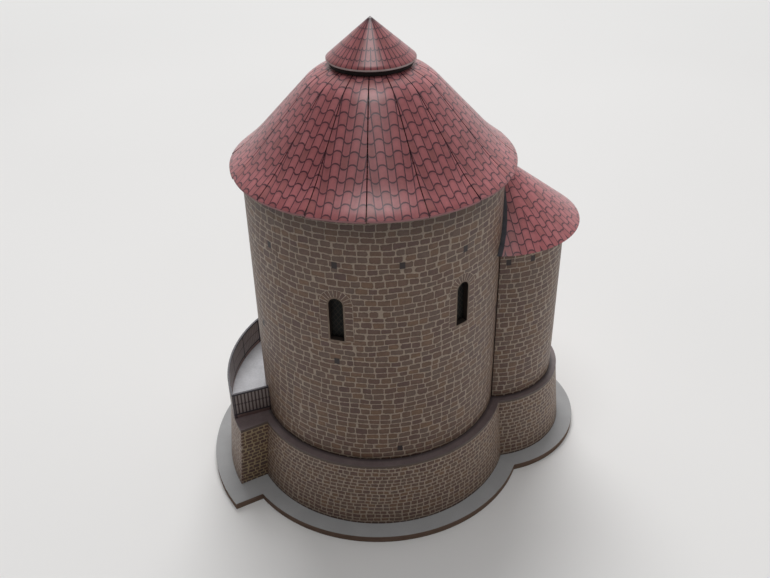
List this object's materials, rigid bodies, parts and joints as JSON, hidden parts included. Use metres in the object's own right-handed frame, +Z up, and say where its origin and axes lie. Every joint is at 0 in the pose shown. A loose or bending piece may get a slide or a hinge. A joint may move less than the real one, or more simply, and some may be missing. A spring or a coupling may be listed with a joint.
{
  "type": "card model of a rotunda",
  "caption": "Card scale model of a round Romanesque chapel with a conical tiled roof, a lower apse and a railed terrace on a battered plinth.",
  "frame": {"origin": "on the drum's axis, at the base board's underside", "axes": "+Z up along the drum's axis; the apse lies 20 degrees round from +X towards +Y; -Y is the side with two windows"},
  "size_m": [0.1003, 0.0806, 0.1161],
  "materials": {
    "greyboard": "matte",
    "plinth_card": "printed stonework, satin",
    "deck_card": "satin",
    "wall_card": "printed stonework, satin",
    "lining_card": "satin",
    "pane_card": "printed leaded panes, satin",
    "door_card": "printed planks, satin",
    "neck_card": "matte",
    "tile_card": "printed tiles, satin",
    "closer_card": "matte",
    "railing_card": "printed bars, satin"
  },
  "bodies": {
    "root": {"base_board": "greyboard", "plinth_wall": "plinth_card", "terrace_wall_front": "plinth_card", "terrace_wall_outer": "plinth_card", "terrace_wall_back": "plinth_card", "plinth_deck": "deck_card", "apse_wall": "wall_card", "window_linings": "lining_card", "window_panes": "pane_card", "door_lining": "lining_card", "door_leaf": "door_card", "roof_neck": "neck_card", "roof_cap": "tile_card", "apse_roof": "tile_card", "apse_roof_closer": "closer_card", "railing_front": "railing_card", "railing_outer": "railing_card", "railing_back": "railing_card", "drum_wall_1": "wall_card", "drum_wall_2": "wall_card", "drum_wall_3": "wall_card", "roof_gore_1": "tile_card", "roof_gore_2": "tile_card", "roof_gore_3": "tile_card", "roof_gore_4": "tile_card", "roof_gore_5": "tile_card", "roof_gore_6": "tile_card", "roof_gore_7": "tile_card", "roof_gore_8": "tile_card", "roof_gore_9": "tile_card", "roof_gore_10": "tile_card", "roof_gore_11": "tile_card", "roof_gore_12": "tile_card", "roof_gore_13": "tile_card", "roof_gore_14": "tile_card", "roof_gore_15": "tile_card", "roof_gore_16": "tile_card"}
  },
  "joints": []
}
